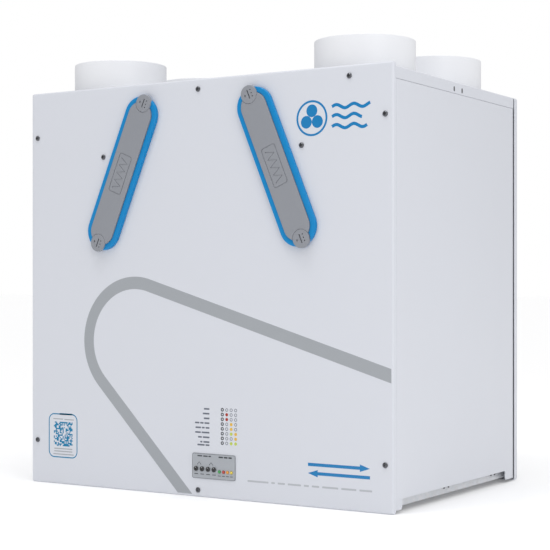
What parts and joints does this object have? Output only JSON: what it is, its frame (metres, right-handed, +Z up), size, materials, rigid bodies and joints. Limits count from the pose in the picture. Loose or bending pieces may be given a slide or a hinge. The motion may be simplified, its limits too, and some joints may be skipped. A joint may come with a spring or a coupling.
{
  "type": "heat recovery unit",
  "caption": "Wall-hung ventilation unit with a heat recovery core, fans, slide-out filters behind latched doors, and round duct spigots on top.",
  "frame": {"origin": "centre of the footprint, on the plane that the unit stands on", "axes": "+X to the right seen from the front, +Y from the front cover to the wall, +Z up to the duct spigots"},
  "size_m": [0.655, 0.444, 0.6718],
  "materials": {
    "casing_paint": "satin",
    "galvanised_steel": "satin",
    "spigot_plastic": "satin",
    "door_blue": "satin",
    "door_grey": "satin",
    "black_plastic": "satin",
    "label_film": "satin",
    "screw_steel": "satin",
    "gasket_foam": "matte",
    "duct_foam": "matte",
    "core_plastic": "satin",
    "filter_pleat": "matte",
    "circuit_board": "satin",
    "lamp_green": "gloss",
    "lamp_red": "gloss",
    "lamp_amber": "gloss",
    "lamp_yellow": "gloss"
  },
  "bodies": {
    "root": {"front_cover": "casing_paint", "side_panel_left": "casing_paint", "side_panel_right": "casing_paint", "top_panel": "casing_paint", "base_panel": "galvanised_steel", "rear_cover": "casing_paint", "rear_gasket": "gasket_foam", "duct_spigot_front_left": "spigot_plastic", "duct_spigot_rear_left": "spigot_plastic", "duct_spigot_front_right": "spigot_plastic", "duct_spigot_rear_right": "spigot_plastic", "cover_screw_top_centre": "screw_steel", "cover_screw_top_right": "screw_steel", "cover_screw_upper_left": "screw_steel", "cover_screw_upper_right": "screw_steel", "cover_screw_lower_left": "screw_steel", "cover_screw_lower_right": "screw_steel", "cover_screw_bottom_centre": "screw_steel", "cover_screw_mid_left": "screw_steel", "cover_screw_mid_right": "screw_steel", "cable_gland": "black_plastic", "heat_exchanger_core": "core_plastic", "top_block": "duct_foam", "condensate_tray": "black_plastic", "drain_stub": "black_plastic", "shelf_left": "duct_foam", "shelf_right": "duct_foam", "fan_housing_left": "black_plastic", "riser_duct_left": "duct_foam", "fan_motor_left": "galvanised_steel", "fan_housing_right": "black_plastic", "riser_duct_right": "duct_foam", "fan_motor_right": "galvanised_steel", "bypass_frame": "duct_foam", "bypass_actuator": "black_plastic", "control_label": "label_film", "board_housing": "black_plastic", "control_board": "circuit_board", "lamp_green": "lamp_green", "lamp_red": "lamp_red", "lamp_amber": "lamp_amber", "lamp_yellow": "lamp_yellow"},
    "door_left": {"filter_door_left": "door_blue", "door_plate_left": "door_grey"},
    "filter_left": {"filter_left": "filter_pleat"},
    "latch_left_upper": {"door_latch_left_upper": "door_grey"},
    "latch_left_lower": {"door_latch_left_lower": "door_grey"},
    "impeller_left": {"fan_impeller_left": "door_grey"},
    "door_right": {"filter_door_right": "door_blue", "door_plate_right": "door_grey"},
    "filter_right": {"filter_right": "filter_pleat"},
    "latch_right_upper": {"door_latch_right_upper": "door_grey"},
    "latch_right_lower": {"door_latch_right_lower": "door_grey"},
    "impeller_right": {"fan_impeller_right": "door_grey"},
    "bypass_flap": {"bypass_flap": "door_grey"},
    "trimmer_1": {"trimmer_1": "black_plastic"},
    "trimmer_2": {"trimmer_2": "black_plastic"},
    "trimmer_3": {"trimmer_3": "black_plastic"},
    "trimmer_4": {"trimmer_4": "black_plastic"}
  },
  "joints": [
    {"name": "door_left_pull", "type": "slide", "parent": "root", "child": "door_left", "axis": [0, -1, 0], "range_m": [0, 0.4]},
    {"name": "filter_left_pull", "type": "slide", "parent": "root", "child": "filter_left", "axis": [0, -1, 0], "range_m": [0, 0.36]},
    {"name": "latch_left_upper_turn", "type": "hinge", "parent": "door_left", "child": "latch_left_upper", "pos_m": [-0.09571, -0.222, 0.59201], "axis": [0, -1, 0], "range_deg": [0, 90]},
    {"name": "latch_left_lower_turn", "type": "hinge", "parent": "door_left", "child": "latch_left_lower", "pos_m": [-0.18409, -0.222, 0.38119], "axis": [0, -1, 0], "range_deg": [0, 90]},
    {"name": "fan_left_spin", "type": "hinge", "parent": "root", "child": "impeller_left", "pos_m": [-0.214, 0.124, 0.15], "axis": [0, 1, 0], "continuous": true},
    {"name": "door_right_pull", "type": "slide", "parent": "root", "child": "door_right", "axis": [0, -1, 0], "range_m": [0, 0.4]},
    {"name": "filter_right_pull", "type": "slide", "parent": "root", "child": "filter_right", "axis": [0, -1, 0], "range_m": [0, 0.36]},
    {"name": "latch_right_upper_turn", "type": "hinge", "parent": "door_right", "child": "latch_right_upper", "pos_m": [0.09571, -0.222, 0.59201], "axis": [0, -1, 0], "range_deg": [0, 90]},
    {"name": "latch_right_lower_turn", "type": "hinge", "parent": "door_right", "child": "latch_right_lower", "pos_m": [0.18409, -0.222, 0.38119], "axis": [0, -1, 0], "range_deg": [0, 90]},
    {"name": "fan_right_spin", "type": "hinge", "parent": "root", "child": "impeller_right", "pos_m": [0.214, 0.124, 0.15], "axis": [0, 1, 0], "continuous": true},
    {"name": "bypass_flap_swing", "type": "hinge", "parent": "root", "child": "bypass_flap", "pos_m": [0.08774, 0.154, 0.53249], "axis": [0, 1, 0], "range_deg": [0, 80]},
    {"name": "trimmer_1_turn", "type": "hinge", "parent": "root", "child": "trimmer_1", "pos_m": [-0.0027, -0.215, 0.0424], "axis": [0, -1, 0], "range_deg": [-135, 135]},
    {"name": "trimmer_2_turn", "type": "hinge", "parent": "root", "child": "trimmer_2", "pos_m": [0.0081, -0.215, 0.0424], "axis": [0, -1, 0], "range_deg": [-135, 135]},
    {"name": "trimmer_3_turn", "type": "hinge", "parent": "root", "child": "trimmer_3", "pos_m": [0.0188, -0.215, 0.0424], "axis": [0, -1, 0], "range_deg": [-135, 135]},
    {"name": "trimmer_4_turn", "type": "hinge", "parent": "root", "child": "trimmer_4", "pos_m": [0.0294, -0.215, 0.0424], "axis": [0, -1, 0], "range_deg": [-135, 135]}
  ],
  "couplings": [
    {"joint": "filter_left_pull", "follows": "door_left_pull", "ratio": 0.9},
    {"joint": "filter_right_pull", "follows": "door_right_pull", "ratio": 0.9}
  ]
}
